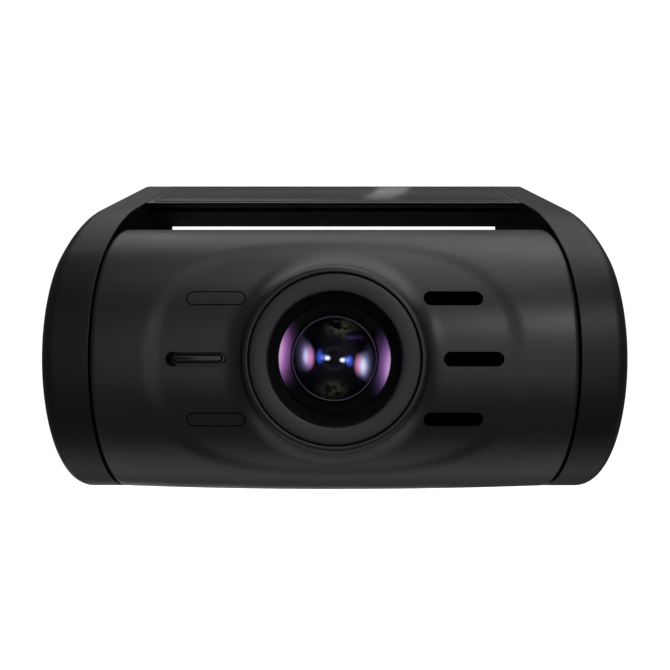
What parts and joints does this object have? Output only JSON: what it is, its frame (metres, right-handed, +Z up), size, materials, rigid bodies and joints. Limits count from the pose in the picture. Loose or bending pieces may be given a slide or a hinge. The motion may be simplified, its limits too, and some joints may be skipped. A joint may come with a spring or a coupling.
{
  "type": "dash camera",
  "caption": "Windscreen dash camera: a round barrel with a wide-angle lens and rear screen tilts in a yoke that unhooks from an adhesive plate.",
  "frame": {"origin": "middle of the adhesive pad's outer face, where the part meets the windscreen", "axes": "+X to the right seen from the front along the tilt axis, -Y the way the lens looks at rest, +Z up; the windscreen side slopes 20 degrees, rising towards +Y"},
  "size_m": [0.09, 0.0588, 0.0622],
  "materials": {
    "black_abs": "moulded, fine satin grain",
    "foam_tape": "acrylic foam tape under a smooth liner",
    "yoke_plastic": "moulded, fine satin grain",
    "shell_plastic": "moulded, smooth satin",
    "bezel_plastic": "moulded, satin",
    "acetal": "natural acetal",
    "steel": "nickel plated",
    "brass": "turned",
    "coated_glass": "polished, coated",
    "filter_glass": "polished, coated",
    "black_aluminium": "black anodised",
    "bare_aluminium": "rolled",
    "board": "glass-fibre board under solder mask",
    "chip": "moulded epoxy",
    "cable_film": "polyimide film",
    "battery_foil": "laminated foil",
    "card_plastic": "moulded",
    "lcd": "panel in a thin frame",
    "window_acrylic": "polished, black backed",
    "button_plastic": "moulded, satin",
    "mesh_fabric": "woven acoustic cloth",
    "light_pipe": "smoked acrylic",
    "led_body": "moulded"
  },
  "bodies": {
    "mount": {"mount_plate": "black_abs", "adhesive_pad": "foam_tape"},
    "yoke": {"yoke_frame": "yoke_plastic", "side_cap_left": "yoke_plastic", "side_cap_right": "yoke_plastic", "hinge_bush_left": "acetal", "hinge_bush_right": "acetal"},
    "barrel": {"friction_washers": "steel", "front_cover": "shell_plastic", "rear_cover": "shell_plastic", "hinge_nut_left": "brass", "hinge_nut_right": "brass", "hinge_screws": "steel", "spring_washers": "steel", "case_screws": "steel", "lens_bezel": "bezel_plastic", "lens_shroud": "black_abs", "front_glass": "coated_glass", "lens_barrel": "black_aluminium", "inner_glass": "coated_glass", "rear_glass": "coated_glass", "lens_holder": "black_abs", "ir_filter": "filter_glass", "image_sensor": "chip", "sensor_board": "board", "flat_cable": "cable_film", "battery": "battery_foil", "main_board": "board", "processor": "chip", "heat_spreader": "bare_aluminium", "card_socket": "steel", "usb_socket": "steel", "lcd_module": "lcd", "screen_window": "window_acrylic", "button_board": "board", "tact_switches": "chip", "speaker": "chip", "speaker_mesh": "mesh_fabric", "microphone": "steel", "slot_blank_upper": "shell_plastic", "slot_blank_lower": "shell_plastic", "light_window": "light_pipe", "status_led": "led_body", "led_board": "board"},
    "memory_card": {"memory_card": "card_plastic"},
    "button_power": {"button_power": "button_plastic"},
    "button_up": {"button_up": "button_plastic"},
    "button_down": {"button_down": "button_plastic"},
    "button_menu": {"button_menu": "button_plastic"}
  },
  "joints": [
    {"name": "mount_release", "type": "slide", "parent": "mount", "child": "yoke", "axis": [0, 0.9397, 0.342], "range_m": [0, 0.004]},
    {"name": "barrel_tilt", "type": "hinge", "parent": "yoke", "child": "barrel", "pos_m": [0, -0.02104, -0.03474], "axis": [1, 0, 0], "range_deg": [-12, 60]},
    {"name": "card_slide", "type": "slide", "parent": "barrel", "child": "memory_card", "axis": [0, 0, -1], "range_m": [0, 0.016]},
    {"name": "button_power_press", "type": "slide", "parent": "barrel", "child": "button_power", "axis": [0, -1, 0], "range_m": [0, 0.0005], "stiffness_N_per_m": 1500, "springref_m": -0.0003},
    {"name": "button_up_press", "type": "slide", "parent": "barrel", "child": "button_up", "axis": [0, -1, 0], "range_m": [0, 0.0005], "stiffness_N_per_m": 1500, "springref_m": -0.0003},
    {"name": "button_down_press", "type": "slide", "parent": "barrel", "child": "button_down", "axis": [0, -1, 0], "range_m": [0, 0.0005], "stiffness_N_per_m": 1500, "springref_m": -0.0003},
    {"name": "button_menu_press", "type": "slide", "parent": "barrel", "child": "button_menu", "axis": [0, -1, 0], "range_m": [0, 0.0005], "stiffness_N_per_m": 1500, "springref_m": -0.0003}
  ]
}
